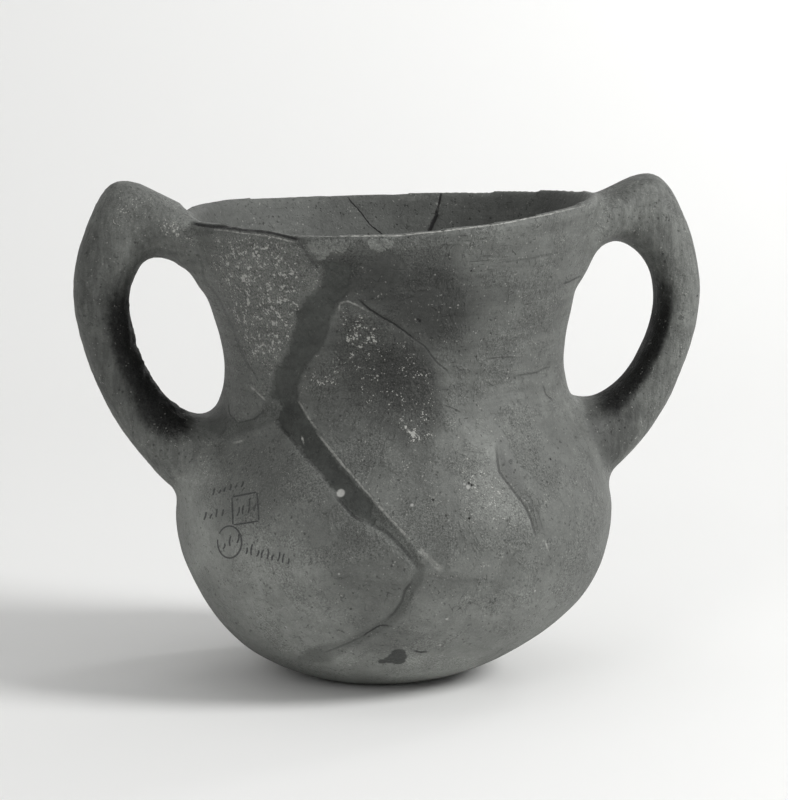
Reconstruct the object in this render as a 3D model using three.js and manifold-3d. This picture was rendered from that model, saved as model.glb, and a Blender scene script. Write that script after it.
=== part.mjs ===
// A two-handled jar of grey fired clay: a round body on a small flat base, a wide
// flaring neck, and two thick strap handles that rise above the rim in a blunt peak.
// Millimetres, +Z up, the origin at the centre of the underside, the handles along X.
import * as THREE from "three";
import { mergeVertices } from "three/addons/utils/BufferGeometryUtils.js";
import Module from "manifold-3d";

// Driving dimensions of the outer profile, as a radius and a height above the table
const BASE_RADIUS = 24;
const BELLY_RADIUS = 74.9;
const BELLY_HEIGHT = 56.5;
const NECK_RADIUS = 58;
const NECK_HEIGHT = 107;
const RIM_RADIUS = 71;
const RIM_HEIGHT = 158.4;
const NECK_BEND = 14; // how gently the upright neck turns into the straight flare

// Thickness of the wall at the lip and at the belly, and of the floor
const LIP_THICKNESS = 4.4;
const BELLY_THICKNESS = 5.2;
const FLOOR_THICKNESS = 7;

// The potter's unevenness, all of it along X
const LEAN = THREE.MathUtils.degToRad(2.5); // levels dip towards -X, the more the higher
const LEAN_TO = 180; // the height at which the dip would be full
const RIM_RISE = 2.8; // the rim climbs this much towards each handle
const RIM_TWIST = 1.1; // and is this much higher at the front right and back left
const RIM_WAVE_FROM = 112; // the height at which rise and twist begin
const BODY_SHIFT = 5; // the belly's centre and the handles', from the underside's
const BODY_SHIFT_TO = 34; // the height at which the body has moved that far
const RIM_SHIFT = -1.2; // the mouth's centre, from the neck's

// How finely the curves are divided
const AROUND = 64;
const BOWL_STEPS = 10;
const SHOULDER_STEPS = 8;
const NECK_STEPS = 7;
const LIP_STEPS = 4;
const HANDLE_STEPS = 32;
const HANDLE_SIDES = 18;

// A handle is drawn by its outer and its inner outline, each a smooth curve through
// eight matching points [distance from the belly's axis, height]: inside the wall, at the
// rim, at the peak, at the shoulder, furthest out, at the lower bend, at the belly and
// inside the wall again. The half width, across the outlines, goes with each pair.
const LEFT_HANDLE = {
  side: -1,
  outer: [
    [59.6, 155.5], [72.2, 162.4], [94.2, 170.4], [104.2, 156.4],
    [109.2, 130.6], [98, 94.5], [80.5, 69.9], [66, 58],
  ],
  inner: [
    [62, 134], [74.6, 142.6], [82.2, 145.4], [88.4, 138.5],
    [90.6, 128.8], [83.2, 103.8], [69.6, 91], [57, 92],
  ],
  halfWidth: [20, 16, 11.5, 11, 11, 11, 15, 23],
};
const RIGHT_HANDLE = {
  side: 1,
  outer: [
    [58, 160], [71.4, 164.5], [90.3, 170.7], [100.8, 156.6],
    [106.6, 128.3], [95.2, 91.2], [77, 69.2], [62, 59],
  ],
  inner: [
    [62, 132], [70.6, 145.9], [79, 147.4], [88.2, 139.8],
    [91, 124.6], [81.8, 102.3], [70.4, 94], [57, 95],
  ],
  halfWidth: [20, 16, 11.5, 11, 11, 11, 15, 23],
};
const SECTION_POWER = 2.3; // 2 is an ellipse, more is squarer

const smooth = (from, to, value) => THREE.MathUtils.smoothstep(value, from, to);
const range = (count, make) => Array.from({ length: count }, (_, i) => make(i / (count - 1)));

// The bowl is part of an ellipse that is cut off at the flat base
const bowlDepth = BELLY_HEIGHT / Math.sqrt(1 - (BASE_RADIUS / BELLY_RADIUS) ** 2);
const baseAngle = Math.asin(BELLY_HEIGHT / bowlDepth);

function outerCurve() {
  const bowl = range(BOWL_STEPS, (t) => {
    const angle = baseAngle * (1 - t);
    return new THREE.Vector2(
      BELLY_RADIUS * Math.cos(angle), BELLY_HEIGHT - bowlDepth * Math.sin(angle));
  });
  const shoulder = range(SHOULDER_STEPS + 1, (t) => new THREE.Vector2(
    NECK_RADIUS + (BELLY_RADIUS - NECK_RADIUS) * (1 + Math.cos(Math.PI * t)) / 2,
    BELLY_HEIGHT + (NECK_HEIGHT - BELLY_HEIGHT) * t));
  // Above the neck the wall is a hyperbola
  const flare = (height) => Math.hypot(height, NECK_BEND) - NECK_BEND;
  const flareHeight = RIM_HEIGHT - LIP_THICKNESS / 2 - NECK_HEIGHT;
  const neck = range(NECK_STEPS + 1, (t) => new THREE.Vector2(
    NECK_RADIUS + (RIM_RADIUS - NECK_RADIUS) * flare(flareHeight * t) / flare(flareHeight),
    NECK_HEIGHT + flareHeight * t));
  return [...bowl, ...shoulder.slice(1), ...neck.slice(1)];
}

// The same curve moved in by the thickness of the wall, down to the middle of the floor
function innerCurve(outer) {
  const moved = outer.map((point, i) => {
    const before = outer[Math.max(0, i - 1)];
    const after = outer[Math.min(outer.length - 1, i + 1)];
    const along = after.clone().sub(before).normalize();
    const thickness = point.y < BELLY_HEIGHT
      ? THREE.MathUtils.lerp(FLOOR_THICKNESS, BELLY_THICKNESS, smooth(0, BELLY_HEIGHT, point.y))
      : THREE.MathUtils.lerp(BELLY_THICKNESS, LIP_THICKNESS, smooth(BELLY_HEIGHT, RIM_HEIGHT, point.y));
    return point.clone().add(new THREE.Vector2(-along.y, along.x).multiplyScalar(thickness));
  });
  return [new THREE.Vector2(0, FLOOR_THICKNESS), ...moved];
}

// The lean of the levels, the wave of the rim and the places of body and mouth
function warp(geometry) {
  const place = geometry.getAttribute("position");
  for (let i = 0; i < place.count; i++) {
    const [x, y, z] = [place.getX(i), place.getY(i), place.getZ(i)];
    const squared = x * x + y * y || 1;
    const dip = x * Math.tan(LEAN) * smooth(0, LEAN_TO, z);
    const wave = (RIM_RISE * x * x - RIM_TWIST * 2 * x * y) / squared;
    const shift = BODY_SHIFT * smooth(0, BODY_SHIFT_TO, z)
      + RIM_SHIFT * smooth(NECK_HEIGHT, RIM_HEIGHT, z);
    place.setX(i, x + shift);
    place.setZ(i, z + dip + wave * smooth(RIM_WAVE_FROM, RIM_HEIGHT, z));
  }
  return geometry;
}

// LatheGeometry turns its profile about +Y, so it is stood up on +Z
function turned(profile) {
  return warp(new THREE.LatheGeometry(profile, AROUND).rotateX(Math.PI / 2));
}

function bodyProfile(outer, inner) {
  const top = outer.at(-1);
  const lipInside = inner.at(-1);
  const middle = top.clone().add(lipInside).multiplyScalar(0.5);
  const across = top.clone().sub(middle);
  const up = new THREE.Vector2(-across.y, across.x);
  const lip = range(LIP_STEPS + 2, (t) => middle.clone()
    .addScaledVector(across, Math.cos(Math.PI * t))
    .addScaledVector(up, Math.sin(Math.PI * t))).slice(1, -1);
  return [new THREE.Vector2(0, 0), ...outer, ...lip, lipInside, new THREE.Vector2(0, lipInside.y)];
}

function cavityProfile(inner) {
  const lipInside = inner.at(-1);
  const above = RIM_HEIGHT * 1.2; // well clear of the rim
  return [...inner, new THREE.Vector2(lipInside.x, above), new THREE.Vector2(0, above)];
}

// Closed rings of points, one after the other, skinned and capped at both ends
function loft(rings) {
  const sides = rings[0].length;
  const points = rings.flat();
  const faces = [];
  for (let r = 0; r + 1 < rings.length; r++) {
    for (let s = 0; s < sides; s++) {
      const [a, b] = [r * sides + s, r * sides + ((s + 1) % sides)];
      faces.push(a, b, b + sides, a, b + sides, a + sides);
    }
  }
  const last = (rings.length - 1) * sides;
  for (let s = 1; s + 1 < sides; s++) {
    faces.push(0, s + 1, s, last, last + s, last + s + 1);
  }
  return new THREE.BufferGeometry().setFromPoints(points).setIndex(faces);
}

function handle({ side, outer, inner, halfWidth }) {
  const curve = (list) => new THREE.CatmullRomCurve3(
    list.map(([reach, height]) => new THREE.Vector3(reach, 0, height)));
  const [outerLine, innerLine] = [curve(outer), curve(inner)];
  const widths = new THREE.CatmullRomCurve3(halfWidth.map((w, i) => new THREE.Vector3(i, w, 0)));
  const rings = range(HANDLE_STEPS, (t) => {
    const [out, back] = [outerLine.getPoint(t), innerLine.getPoint(t)];
    const middle = out.clone().add(back).multiplyScalar(0.5);
    const across = out.clone().sub(middle);
    const half = widths.getPoint(t).y;
    return Array.from({ length: HANDLE_SIDES }, (_, i) => {
      const angle = (2 * Math.PI * i) / HANDLE_SIDES;
      const [c, s] = [Math.cos(angle), Math.sin(angle)];
      const squared = (v) => Math.sign(v) * Math.abs(v) ** (2 / SECTION_POWER);
      const point = middle.clone().addScaledVector(across, squared(c));
      return new THREE.Vector3(side * point.x, -side * half * squared(s), point.z);
    });
  });
  return loft(rings).translate(BODY_SHIFT, 0, 0);
}

const wasm = await Module();
wasm.setup();

function solid(geometry) {
  const bare = new THREE.BufferGeometry()
    .setAttribute("position", geometry.getAttribute("position"))
    .setIndex(geometry.index);
  const merged = mergeVertices(bare, 1e-3);
  return new wasm.Manifold(new wasm.Mesh({
    numProp: 3,
    vertProperties: merged.attributes.position.array,
    triVerts: new Uint32Array(merged.index.array),
  }));
}

function geometryOf(manifold) {
  const { vertProperties, triVerts } = manifold.getMesh();
  const made = new THREE.BufferGeometry()
    .setAttribute("position", new THREE.BufferAttribute(vertProperties, 3))
    .setIndex(new THREE.BufferAttribute(triVerts, 1));
  made.computeVertexNormals();
  return made;
}

const outer = outerCurve();
const inner = innerCurve(outer);
const jarSolid = solid(turned(bodyProfile(outer, inner)))
  .add(solid(handle(LEFT_HANDLE)))
  .add(solid(handle(RIGHT_HANDLE)))
  .subtract(solid(turned(cavityProfile(inner))));

const clay = new THREE.MeshStandardMaterial({ color: 0x5d605b, roughness: 0.82, metalness: 0 });
const jar = new THREE.Mesh(geometryOf(jarSolid), clay);
jar.name = "jar";

const model = new THREE.Group();
model.add(jar);
export default model;
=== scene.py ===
# A two-handled jar of grey fired clay, mended from sherds with dark filler: its surface,
# its finish, the ink strokes on its shoulder and a plain pale studio.
import math

import bmesh
import bpy
import numpy as np
from mathutils import Matrix, Vector, noise
from mathutils.bvhtree import BVHTree


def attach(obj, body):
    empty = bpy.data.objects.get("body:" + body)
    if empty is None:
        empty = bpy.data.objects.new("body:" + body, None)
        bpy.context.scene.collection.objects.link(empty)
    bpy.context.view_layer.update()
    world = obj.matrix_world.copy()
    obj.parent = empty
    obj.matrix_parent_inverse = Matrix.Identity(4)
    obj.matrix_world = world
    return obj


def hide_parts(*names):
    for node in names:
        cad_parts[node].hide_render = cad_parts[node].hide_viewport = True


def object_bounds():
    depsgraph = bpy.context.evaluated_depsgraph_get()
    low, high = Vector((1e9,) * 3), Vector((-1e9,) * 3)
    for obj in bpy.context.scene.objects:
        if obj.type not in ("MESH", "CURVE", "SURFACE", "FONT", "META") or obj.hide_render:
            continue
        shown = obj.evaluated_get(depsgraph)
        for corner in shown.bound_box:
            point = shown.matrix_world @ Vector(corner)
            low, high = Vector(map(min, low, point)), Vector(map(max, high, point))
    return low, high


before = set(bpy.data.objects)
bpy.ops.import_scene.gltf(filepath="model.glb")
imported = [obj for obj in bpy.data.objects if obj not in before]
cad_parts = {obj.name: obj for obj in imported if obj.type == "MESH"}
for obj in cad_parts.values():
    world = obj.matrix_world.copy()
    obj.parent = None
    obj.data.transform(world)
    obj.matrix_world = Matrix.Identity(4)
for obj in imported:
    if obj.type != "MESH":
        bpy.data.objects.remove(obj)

bl_info = {
    "name": "Two-handled jar",
    "version": (1, 0, 0),
    "blender": (4, 5, 0),
    "location": "View3D > Sidebar > Jar",
    "description": "Shapes and finishes a mended grey jar with two high handles",
    "category": "Object",
}

MM = 0.001
CAD_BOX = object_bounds()

# The photograph's frame in pixels, and the camera that fits the jar's outline in it
PHOTO_WIDTH = 788
PHOTO_HEIGHT = 800
FOCAL_PIXELS = 3495
CAMERA_AZIMUTH = math.radians(8.98)
CAMERA_ELEVATION = math.radians(8.74)
CAMERA_DISTANCE = 1.1995
CAMERA_LOOKS_PAST = Vector((0.00415, 0, 0.085))
CAMERA_AIM_RIGHT = 0.0009
CAMERA_AIM_UP = 0.0091
PIXEL = CAMERA_DISTANCE / FOCAL_PIXELS

# The handles' outlines as [distance from the belly's axis, height] in millimetres, each
# a smooth curve: inside the wall, at the rim, at the peak, at the shoulder, furthest
# out, at the lower bend, at the belly and inside the wall again
LEFT_OUTER = [
    [59.6, 155.5], [72.2, 162.4], [94.2, 170.4], [104.2, 156.4],
    [109.2, 130.6], [98, 94.5], [80.5, 69.9], [66, 58],
]
LEFT_INNER = [
    [62, 134], [74.6, 142.6], [82.2, 145.4], [88.4, 138.5],
    [90.6, 128.8], [83.2, 103.8], [69.6, 91], [57, 92],
]
RIGHT_OUTER = [
    [58, 160], [71.4, 164.5], [90.3, 170.7], [100.8, 156.6],
    [106.6, 128.3], [95.2, 91.2], [77, 69.2], [62, 59],
]
RIGHT_INNER = [
    [62, 132], [70.6, 145.9], [79, 147.4], [88.2, 139.8],
    [91, 124.6], [81.8, 102.3], [70.4, 94], [57, 95],
]
# Half their width across at those places, and how squared their section is
HANDLE_HALF_WIDTH = [20, 16, 11.5, 11, 11, 11, 15, 23]
SECTION_POWER = 2.3
# The middle of a finger loop: distance from the neck's axis, and height
LOOP_CENTRE = (78 * MM, 120 * MM)

# How many points there are round the body and along each part of its outline, and along
# and round a handle
BODY_AROUND = 288
BOWL_STEPS = 44
UPPER_STEPS = 64
LIP_STEPS = 11
HANDLE_STEPS = 120
HANDLE_AROUND = 44

# How many rounds of smoothing smear the handles' roots, and the upper ones further
ROOT_ROUNDS = 26
UPPER_ROOT_ROUNDS = 70

# How far a line's mark and its finer mesh reach, in pixels, and what a distance in
# millimetres says where nothing is near
LINE_REACH = 8.0
FINE_REACH = 10.0
FAR_OFF = 9.0

# Where the left handle's upper root meets the neck, in pixels, how far from there it is
# fuller, and which way it is pushed out
ROOT_CORNER = (204, 280)
ROOT_REACH = 13
ROOT_DOWN_AND_OUT = (-0.75, 0, -0.65)

# Where the lip begins to climb at the front left, is highest from there and to there,
# and is level again, in pixels across
LIP_RISE_AT = (196, 228, 262, 302)

# The edge of the light sherd on the right, in pixels, and the part of it that stands
# proud
SHERD_EDGE = [(497, 460), (499, 472), (508, 484), (517, 496), (526, 508), (531, 520)]
PROUD_SHERD = [(440, 400), (496, 444), *SHERD_EDGE, (537, 537), (520, 560), (440, 540), (420, 470)]

# What shows on the surface, each placed by its outline or line in the photograph's
# pixels. Filler lies a little lower than the sherds and is smoother and darker, as
# (depth in mm, how much it shows, outline)
FILLER = [
    (0.15, 0.85, [
        (322, 262), (325, 277), (318, 291), (307, 298), (303, 308), (295, 312), (297, 323),
        (292, 337), (288, 353), (277, 367), (272, 384), (274, 398), (286, 412), (303, 414),
        (299, 404), (297, 388), (301, 375), (309, 362), (319, 350), (327, 335), (331, 318),
        (337, 303), (346, 298), (353, 270), (350, 262),
    ]),
    (0.1, 0.4, [
        (275, 388), (262, 405), (252, 417), (238, 424), (230, 418), (226, 404), (210, 410),
        (208, 430), (226, 440), (246, 433), (262, 427), (276, 421), (290, 416), (296, 402),
    ]),
    (0.6, 0.95, [
        (274, 384), (292, 390), (302, 408), (308, 420), (315, 430), (320, 438), (330, 452),
        (340, 466), (350, 477), (358, 487), (370, 498), (375, 505), (384, 517), (386, 530),
        (378, 529), (372, 526), (362, 520), (352, 515), (343, 505), (335, 494),
        (328, 485), (322, 474), (312, 464), (300, 450), (290, 437), (281, 428), (272, 415),
        (268, 398),
    ]),
    (0.4, 0.5, [
        (372, 501), (385, 515), (396, 527), (405, 538), (412, 548), (418, 558), (421, 566),
        (416, 572), (411, 562), (403, 556), (395, 548), (385, 538), (372, 526), (360, 516),
    ]),
    (0.3, 0.4, [
        (414, 562), (410, 580), (403, 588), (399, 600), (391, 612), (384, 618), (371, 626),
        (358, 633), (346, 640), (326, 644), (308, 650), (296, 660), (311, 664), (328, 663),
        (340, 657), (347, 650), (356, 646), (368, 640), (382, 632), (395, 623), (403, 614),
        (410, 602), (415, 590), (422, 582), (424, 566),
    ]),
]

# Flakes and sherds of lighter clay with a sharp edge, as above
FLAKES = [
    (0, 0.9, [
        (306, 241), (327, 239), (350, 240), (349, 247), (345, 252), (331, 252), (325, 260),
        (318, 261), (310, 249)]),
    (0, 0.9, [
        (366, 240), (380, 238), (393, 240), (394, 244), (388, 251), (379, 253), (368, 247)]),
    (0, 0.4, [
        (456, 424), (470, 428), (484, 438), (495, 446), (496, 462), (499, 472), (508, 482),
        (516, 492), (522, 502), (527, 515), (530, 526), (510, 523), (488, 513), (478, 500),
        (465, 474), (455, 455), (450, 438)]),
    (0, 0.3, [
        (190, 236), (240, 234), (287, 241), (300, 250), (310, 262), (321, 275), (318, 285),
        (312, 293), (300, 302), (297, 315), (296, 327), (292, 335), (287, 350), (277, 365),
        (270, 380), (262, 384), (243, 355), (232, 325), (222, 305), (207, 275)]),
    (0, 0.22, [
        (448, 546), (462, 543), (475, 552), (476, 567), (464, 577), (449, 571)]),
    (0, 0.22, [
        (229, 400), (230, 415), (238, 423), (255, 418), (265, 408), (256, 396), (240, 392)]),
]

# Dark lines: open cracks, and painted shadows at the foot of a sherd's edge, beside the lower joint and
# along the lip at the front left, as (half width in mm, depth in mm, strength, points)
CRACKS_AND_SHADOWS = [
    (0.32, 0.4, 0.8, [(358, 299), (368, 308), (380, 316), (394, 324), (405, 332), (415, 340)]),
    (0.3, 0.15, 0.4, [(415, 340), (425, 347), (436, 362), (448, 372)]),
    (0.6, 0.2, 0.4, [(278, 424), (290, 437), (300, 450), (312, 464), (322, 474), (329, 486)]),
    (0.5, 0.3, 0.6, [(335, 496), (344, 506), (353, 516), (364, 522)]),
    (0.6, 0.3, 0.4, [(364, 522), (385, 531), (395, 541), (405, 551), (414, 563)]),
    (0.26, 0.2, 0.7, [(389, 626), (380, 626), (371, 631), (362, 637)]),
    (0.3, 0.15, 0.35, [(362, 637), (350, 643), (338, 648), (325, 653)]),
    # Painted shadow beside the lower joint
    (0.4, 0.2, 0.4, [(412, 582), (405, 590), (402, 601), (395, 612), (387, 620)]),
    # Painted shadow at the foot of the light sherd's raised edge
    (0.45, 0.25, 0.55, [(496, 446), *SHERD_EDGE, (534, 531), (537, 537)]),
    (0.22, 0.1, 0.25, [(528, 494), (538, 512), (543, 530)]),
    (0.28, 0.2, 0.85, [(414, 651), (420, 653), (427, 652)]),
    (0.5, 0.1, 0.14, [(424, 575), (436, 577), (455, 582), (478, 580), (500, 583)]),
    (0.4, 0.15, 0.22, [(190, 232), (207, 275), (222, 305), (232, 325), (243, 355), (262, 385)]),
    (0.22, 0.1, 0.5, [(543, 385), (546, 395), (552, 400)]),
    (0.22, 0.1, 0.5, [(443, 405), (452, 408), (460, 412)]),
    # Dark bands along the lip at the front left: painted shade on the lip's edge
    (0.5, 0.2, 0.9, [(192, 223), (200, 225), (210, 227.5), (222, 230), (240, 232.5), (252, 234)]),
    (0.45, 0.2, 0.9, [(238, 232), (254, 234), (268, 235.5), (285, 237.5), (302, 240)]),
    (0.45, 0.15, 0.35, [(300, 242), (306, 252), (316, 266)]),
    (0.25, 0.1, 0.4, [(229, 400), (230, 414), (238, 423), (254, 419), (265, 410)]),
    (0.25, 0.15, 0.6, [(563, 284), (571, 281), (581, 276)]),
    (0.25, 0.1, 0.45, [(486, 359), (500, 357.5), (515, 357)]),
    (0.22, 0.1, 0.4, [(440, 317), (449, 316), (456, 315)]),
    (0.3, 0.1, 0.25, [(500, 263), (530, 259), (556, 253)]),
    (0.25, 0.1, 0.35, [(515, 376), (535, 373), (550, 366)]),
]

# Light lines: chipped and rubbed edges of sherds, with painted highlights where their raised edges catch
# the light, and painted highlights along the lip's edge, as above
SCARS_AND_HIGHLIGHTS = [
    # Rubbed edges of sherds, with painted highlights along their raised ridges
    (0.3, -0.1, 0.4, [(339, 311), (340, 303), (348, 301), (357, 305), (368, 311)]),
    (0.35, -0.2, 0.4, [(296, 400), (302, 407), (309, 419), (317, 429)]),
    (0.4, -0.25, 0.5, [(318, 434), (330, 449), (342, 464), (352, 475)]),
    (0.3, -0.2, 0.4, [(352, 475), (362, 487), (373, 499)]),
    (0.4, -0.3, 0.4, [(373, 500), (385, 513), (396, 525), (409, 539)]),
    (0.9, -0.1, 0.25, [(419, 549), (430, 560), (441, 570)]),
    (0.3, 0.0, 0.4, [(406, 428), (411, 433)]),
    (0.3, 0.0, 0.7, [(301, 437), (303, 443)]),
    (0.4, 0.0, 0.5, [(234, 443), (243, 441)]),
    (0.25, 0.0, 0.4, [(545, 541), (549, 552)]),
    (0.3, 0.0, 0.45, [(250, 386), (257, 392), (265, 400)]),
    # Painted highlights along the lip's edge
    (0.25, 0.0, 0.6, [(214, 232), (236, 236), (262, 239), (278, 240.5), (294, 242.5)]),
    (0.2, -0.1, 0.7, [
        (300, 236), (350, 236.5), (400, 235.5), (432, 232.5), (460, 229.5), (500, 224),
        (545, 215), (585, 206),
    ]),
]

# Soft patches of lighter or darker colour, as (tone, softness in pixels, outline): the clay's own tone,
# painted shade and painted light, with the body darker over the neck, upper body and right side and
# lighter over the lower body
TONE_LIGHT_AND_SHADE = [
    (0.44, 20, [
        (322, 254), (360, 252), (400, 254), (450, 256), (478, 300), (462, 345), (430, 345),
        (405, 331), (380, 314), (352, 298), (335, 302)]),
    (0.62, 9, [
        (345, 308), (372, 316), (405, 336), (428, 350), (440, 380), (444, 426), (426, 446),
        (392, 440), (352, 410), (336, 350)]),
    (0.47, 14, [(376, 344), (410, 346), (432, 362), (438, 402), (424, 420), (388, 410), (370, 380)]),
    (0.85, 20, [(300, 330), (370, 318), (380, 400), (400, 470), (350, 470), (300, 400)]),
    (0.84, 26, [(425, 250), (490, 250), (512, 300), (480, 345), (430, 335)]),
    (0.8, 30, [(190, 225), (600, 210), (570, 280), (560, 380), (460, 400), (300, 400), (230, 400)]),
    (1.34, 4.5, [
        (464, 425), (482, 431), (496, 442), (498, 470), (510, 488), (527, 515), (526, 525),
        (500, 514), (484, 494), (476, 462)]),
    # Painted shadow to the right of the light sherd's raised edge
    (0.78, 3, [(499, 448), (518, 476), (538, 508), (545, 532), (536, 532), (520, 500), (503, 478)]),
    (0.84, 22, [(530, 420), (590, 430), (620, 520), (590, 600), (540, 560)]),
    (1.5, 30, [
        (180, 480), (225, 520), (320, 550), (390, 580), (370, 640), (330, 680), (240, 650),
        (180, 570)]),
    (1.25, 14, [(176, 470), (214, 470), (214, 570), (190, 570)]),
    (1.25, 22, [(400, 600), (560, 580), (540, 660), (400, 670)]),
    (0.9, 12, [(235, 445), (300, 455), (325, 490), (290, 497), (240, 478)]),
    (1.2, 6, [(192, 240), (208, 262), (240, 345), (262, 388), (232, 410), (226, 380), (208, 320)]),
    (0.8, 14, [(400, 565), (470, 572), (520, 585), (500, 600), (430, 596), (395, 590)]),
    (0.78, 10, [(352, 520), (395, 552), (408, 562), (360, 560), (335, 545), (340, 528)]),
    (0.68, 18, [(330, 560), (395, 560), (400, 600), (360, 625), (330, 600)]),
    (1.15, 8, [(106, 205), (135, 198), (142, 225), (112, 238)]),
    (1.2, 9, [(180, 455), (222, 460), (222, 478), (184, 480)]),
    # Painted light from the bright floor on the foot
    (1.5, 8, [(330, 655), (480, 655), (470, 690), (345, 690)]),
    # Painted shade on the right handle's lower root, on its side facing the body
    (0.58, 4, [(583, 398), (612, 402), (640, 405), (636, 440), (612, 470), (605, 467), (590, 430)]),
    (1.1, 10, [(460, 474), (498, 500), (526, 520), (500, 526), (470, 514)]),
    (0.84, 14, [(400, 440), (450, 446), (466, 500), (500, 540), (480, 570), (430, 560), (400, 520)]),
    (0.75, 16, [(60, 240), (110, 230), (120, 300), (170, 440), (90, 400)]),
    (0.85, 20, [(210, 405), (300, 430), (290, 470), (200, 470), (180, 430)]),
]

# Whitish crust, as (strength, softness in pixels, outline)
CRUST = [
    (0.9, 12, [
        (212, 240), (240, 236), (300, 242), (320, 276), (298, 300), (290, 345), (268, 378),
        (240, 345), (224, 300), (210, 262)]),
    (1.0, 8, [(292, 262), (320, 276), (312, 292), (298, 285)]),
    (1.0, 8, [(268, 288), (300, 300), (296, 330), (268, 335)]),
    (0.9, 10, [
        (338, 303), (366, 312), (386, 335), (380, 358), (320, 362), (300, 392), (330, 392),
        (345, 372)]),
    (1.3, 5, [(401, 423), (416, 427), (433, 433), (428, 443), (412, 440)]),
    (0.55, 12, [(345, 320), (400, 340), (438, 370), (440, 430), (400, 430), (340, 400)]),
    (0.8, 10, [(160, 212), (186, 222), (196, 246), (180, 245), (160, 235)]),
    (0.6, 8, [(158, 426), (190, 432), (200, 447), (168, 446)]),
    (0.55, 14, [(100, 188), (150, 190), (160, 225), (110, 235)]),
    (0.6, 14, [(450, 440), (500, 470), (522, 500), (522, 530), (460, 525)]),
    (0.5, 12, [(335, 655), (360, 655), (356, 672), (336, 672)]),
    (0.4, 16, [(232, 545), (300, 555), (300, 580), (235, 580)]),
    (0.5, 14, [(188, 440), (235, 455), (240, 500), (192, 500)]),
    (0.35, 20, [(230, 430), (300, 450), (340, 520), (250, 540)]),
    (0.35, 20, [(350, 420), (440, 450), (450, 540), (390, 500)]),
]

# Round marks: a plug of pale filler, a stain, pits and chips, as
# (x, y, radius in mm, kind)
MARKS = [
    (340.8, 493, 1.3, "plug"),
    (397.5, 657, 3.2, "stain"),
    (390, 660, 2.2, "stain"),
    (382.5, 661.5, 1.5, "stain"),
    (398.5, 653, 2.4, "stain"),
    (398.5, 661, 2.4, "stain"),
    (419.3, 321, 0.5, "pit"),
    (417.6, 319.5, 0.3, "pit"),
    (550.4, 459, 0.35, "pit"),
    (469, 518.5, 0.35, "pit"),
    (471.5, 485, 0.4, "pit"),
    (468.5, 483, 0.35, "pit"),
    (468, 487, 0.7, "chip"),
    (464.5, 484, 0.4, "chip"),
    (471, 271, 0.3, "pit"),
    (433, 500, 0.35, "pit"),
    (697, 296, 0.35, "pit"),
    (447, 619, 0.5, "chip"),
    (440, 645, 0.5, "chip"),
    (350, 665, 0.6, "chip"),
    (339, 574, 0.35, "chip"),
    (286, 627, 0.4, "chip"),
    (535, 591, 0.4, "chip"),
    (412, 505, 0.45, "chip"),
]

# Cracks in the far wall, seen through the mouth
INSIDE_CRACKS = [
    (0.2, 0.25, 0.9, [(347, 196), (351, 202), (358, 209), (370, 225), (384, 236), (398, 250)]),
    (0.36, 0.3, 0.95, [(441, 192), (439, 203), (437, 211)]),
    (0.6, 0.5, 1.0, [(437.5, 208), (436, 216), (432, 224), (428, 234), (424, 246)]),
]
INSIDE_SCARS = [
    (0.5, 0.0, 0.9, [(438.5, 204), (439, 206)]),
    (0.8, 0.0, 0.1, [(400, 197), (409, 199), (418, 198), (434, 199)]),
]

# Rows of short ink strokes on the shoulder, as (start, end, size) in pixels, and round
# two of them a four-sided frame and a ring (x, y, half width, half height)
STROKE_ROWS = [
    ((213, 495), (241, 487), 6.5),
    ((204, 520), (222, 516), 9.0),
    ((237, 516), (254, 511), 14.0),
    ((223, 549), (237, 543), 11.0),
    ((246, 554), (288, 564), 11.0),
]
FRAME_CORNERS = [(232, 497), (257, 492), (259, 521), (233, 525)]
RING = (229.6, 542, 12, 16)

# How far apart the strokes of a row stand, in pixels, and how many points a stroke, a
# side of the frame and the ring have
STROKE_SPACING = 5
STROKE_STEPS = 8
SIDE_STEPS = 14
RING_STEPS = 44

# The floor runs back, bends up and ends in a wall: its near edge, where it bends, the
# bend's radius, the wall's top and half its width, in metres, and the bend's points
FLOOR_NEAR = -3.0
FLOOR_BEND = 0.6
BEND_RADIUS = 1.4
FLOOR_TOP = 4.0
FLOOR_HALF_WIDTH = 4.0
BEND_STEPS = 14

# The lights, as (name, where it stands, what it is aimed at, width) in metres
LIGHTS = [
    ("key", (1.09, -0.56, 0.85), (0, 0, 0.08), 0.5),
    ("overhead", (-0.1, 0.1, 1.8), (0, 0, 0), 0.9),
    ("fill", (-0.9, -1.4, 0.9), (0, 0, 0.05), 0.8),
    ("backdrop", (1.35, 1.0, 1.3), (0.8, 2.0, 0.6), 0.6),
]


def smooth(low, high, value):
    """0 below low, 1 above high and an even bend between, for numbers and arrays."""
    t = np.clip((value - low) / (high - low), 0, 1)
    return t * t * (3 - 2 * t)


def measure(value, name, text, kind="LENGTH", **limits):
    return bpy.props.FloatProperty(name=name, description=text, default=value, unit=kind, **limits)


def power(value, name, text):
    return measure(value, name, text, "POWER", min=0)


def colour_of(value, name, text):
    return bpy.props.FloatVectorProperty(
        name=name, description=text, default=value, subtype="COLOR", size=3, min=0, max=1)


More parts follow.
